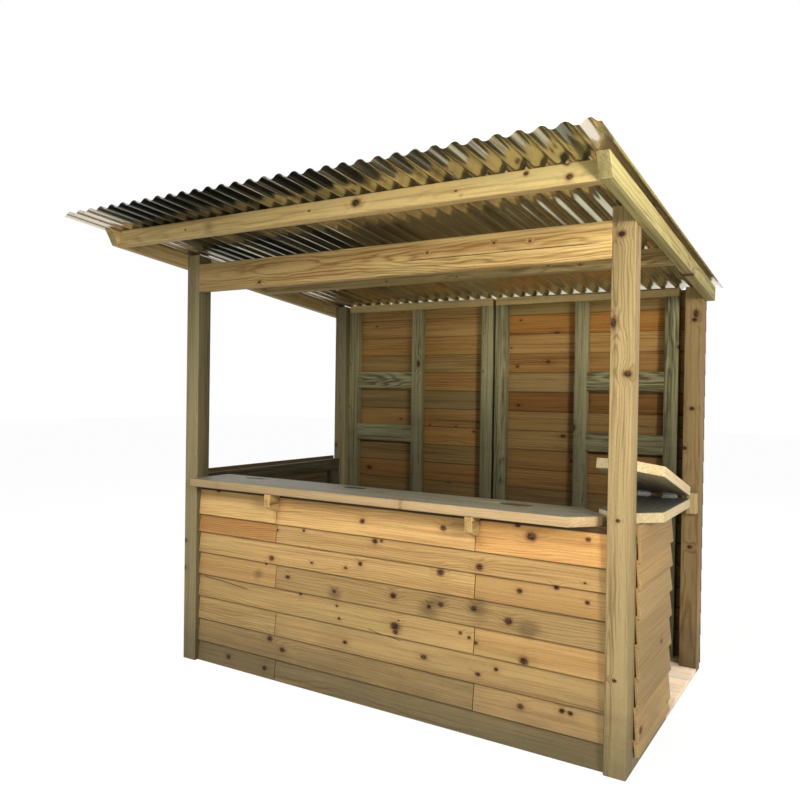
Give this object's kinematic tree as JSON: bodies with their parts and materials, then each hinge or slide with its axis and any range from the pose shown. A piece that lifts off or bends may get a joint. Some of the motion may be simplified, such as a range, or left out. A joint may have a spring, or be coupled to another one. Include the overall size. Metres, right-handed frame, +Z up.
{
  "type": "garden bar",
  "caption": "Open-fronted timber garden bar with corner posts, lapped-board half walls, a full back wall, serving counter, folding side flap and a mono-pitch corrugated roof.",
  "frame": {"origin": "middle of the plan over the roof sheets, at ground level under the post feet", "axes": "+X to the customer's right along the serving front, +Y from the serving front to the back wall, +Z up"},
  "size_m": [2.6, 2.1972, 2.3248],
  "materials": {
    "post_timber": "sawn treated softwood, pale olive tan",
    "board_timber": "sawn lapped softwood boards, honey with orange knots",
    "frame_timber": "sawn treated softwood, greenish tan",
    "counter_timber": "planed treated softwood, grey top with pale edges",
    "roof_sheet": "galvanised corrugated steel",
    "hinge_steel": "zinc-plated steel"
  },
  "bodies": {
    "bar": {"post_front_left": "post_timber", "post_front_right": "post_timber", "post_rear_left": "post_timber", "post_rear_right": "post_timber", "header_beam": "frame_timber", "front_roof_rail": "frame_timber", "mid_purlin": "frame_timber", "rafter_left": "frame_timber", "rafter_right": "frame_timber", "roof_sheet_1": "roof_sheet", "roof_sheet_2": "roof_sheet", "roof_sheet_3": "roof_sheet", "roof_sheet_4": "roof_sheet", "floor": "board_timber", "front_studs": "frame_timber", "front_rails": "frame_timber", "front_cladding": "board_timber", "counter_brackets": "frame_timber", "counter": "counter_timber", "left_studs": "frame_timber", "left_rails": "frame_timber", "left_cladding": "board_timber", "right_studs": "frame_timber", "right_rails": "frame_timber", "right_cladding": "board_timber", "side_counter": "counter_timber", "flap_hinge_fixed": "hinge_steel", "flap_support_block": "frame_timber", "back_studs_left": "frame_timber", "back_studs_right": "frame_timber", "back_plates": "frame_timber", "back_cladding_left": "board_timber", "back_cladding_right": "board_timber", "shelf_rails_left": "frame_timber", "shelf_rails_right": "frame_timber"},
    "flap": {"flap": "counter_timber", "flap_hinge_moving": "hinge_steel"}
  },
  "joints": [
    {"name": "flap_hinge", "type": "hinge", "parent": "bar", "child": "flap", "pos_m": [1.1735, 0.31998, 1.025], "axis": [1, 0, 0], "range_deg": [-165.3, 0]}
  ]
}
